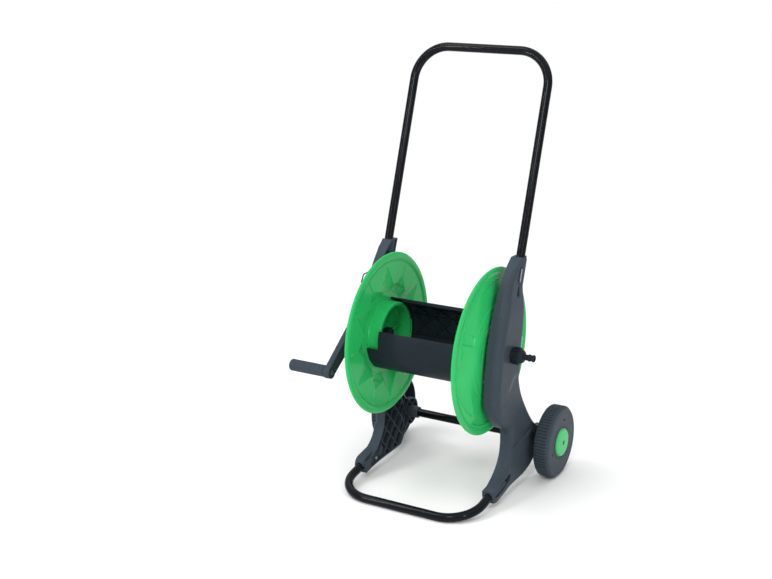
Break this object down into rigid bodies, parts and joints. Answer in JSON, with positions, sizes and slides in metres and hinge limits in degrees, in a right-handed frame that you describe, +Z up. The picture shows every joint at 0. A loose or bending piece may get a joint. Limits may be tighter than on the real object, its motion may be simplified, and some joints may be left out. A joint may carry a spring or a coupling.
{
  "type": "garden hose reel cart",
  "caption": "Two-wheeled hose reel cart: bent tube handle and foot, moulded side panels, hand-cranked reel with green flanges, water inlet at the hub.",
  "frame": {"origin": "on the floor, under the middle of the foot bar, on its lowest flat", "axes": "+X from the crank side to the water inlet side, +Y from the foot bar to the wheels, +Z up"},
  "size_m": [0.5123, 0.4075, 0.8937],
  "materials": {
    "slate_plastic": "moulded polypropylene, dark slate grey, fine satin grain",
    "dark_plastic": "moulded plastic, charcoal, satin",
    "green_plastic": "moulded plastic, bright green, semi-gloss",
    "cap_green": "moulded plastic, light green, satin",
    "black_tube": "gloss black powder coat on steel tube",
    "bright_steel": "zinc plated steel",
    "black_rubber": "matte black nitrile rubber"
  },
  "bodies": {
    "frame": {"left_panel": "slate_plastic", "right_panel": "slate_plastic", "handle_tube": "black_tube", "foot_tube": "black_tube", "axle_tube": "black_tube", "handle_clip_left": "bright_steel", "handle_clip_right": "bright_steel", "hose_hook": "dark_plastic", "foot_screw_left": "bright_steel", "foot_screw_right": "bright_steel", "axle_ring_left": "bright_steel", "axle_ring_right": "bright_steel", "crank_bush": "dark_plastic", "inlet_bush": "dark_plastic", "inlet_stem": "dark_plastic", "inlet_connector": "dark_plastic", "inlet_washer": "black_rubber", "o_ring_1": "black_rubber", "o_ring_2": "black_rubber"},
    "reel": {"flange_left": "green_plastic", "flange_right": "green_plastic", "drum_plate_front": "dark_plastic", "drum_plate_rear": "dark_plastic", "drum_screw_front_left": "bright_steel", "drum_screw_front_right": "bright_steel", "drum_screw_rear_left": "bright_steel", "drum_screw_rear_right": "bright_steel", "crank_arm": "slate_plastic", "crank_nut": "dark_plastic", "grip_pin": "bright_steel", "swivel_elbow": "dark_plastic", "lock_sleeve": "dark_plastic", "hose_connector": "dark_plastic", "hose_washer": "black_rubber"},
    "grip": {"crank_grip": "slate_plastic", "grip_cap": "slate_plastic"},
    "left_wheel": {"wheel_left": "slate_plastic", "hub_cap_left": "cap_green"},
    "right_wheel": {"wheel_right": "slate_plastic", "hub_cap_right": "cap_green"}
  },
  "joints": [
    {"name": "reel_spin", "type": "hinge", "parent": "frame", "child": "reel", "pos_m": [0, 0.1575, 0.3117], "axis": [1, 0, 0], "continuous": true},
    {"name": "grip_spin", "type": "hinge", "parent": "reel", "child": "grip", "pos_m": [-0.2515, 0.05756, 0.24172], "axis": [1, 0, 0], "continuous": true},
    {"name": "left_wheel_spin", "type": "hinge", "parent": "frame", "child": "left_wheel", "pos_m": [-0.195, 0.318, 0.077], "axis": [1, 0, 0], "continuous": true},
    {"name": "right_wheel_spin", "type": "hinge", "parent": "frame", "child": "right_wheel", "pos_m": [0.195, 0.318, 0.077], "axis": [1, 0, 0], "continuous": true}
  ]
}
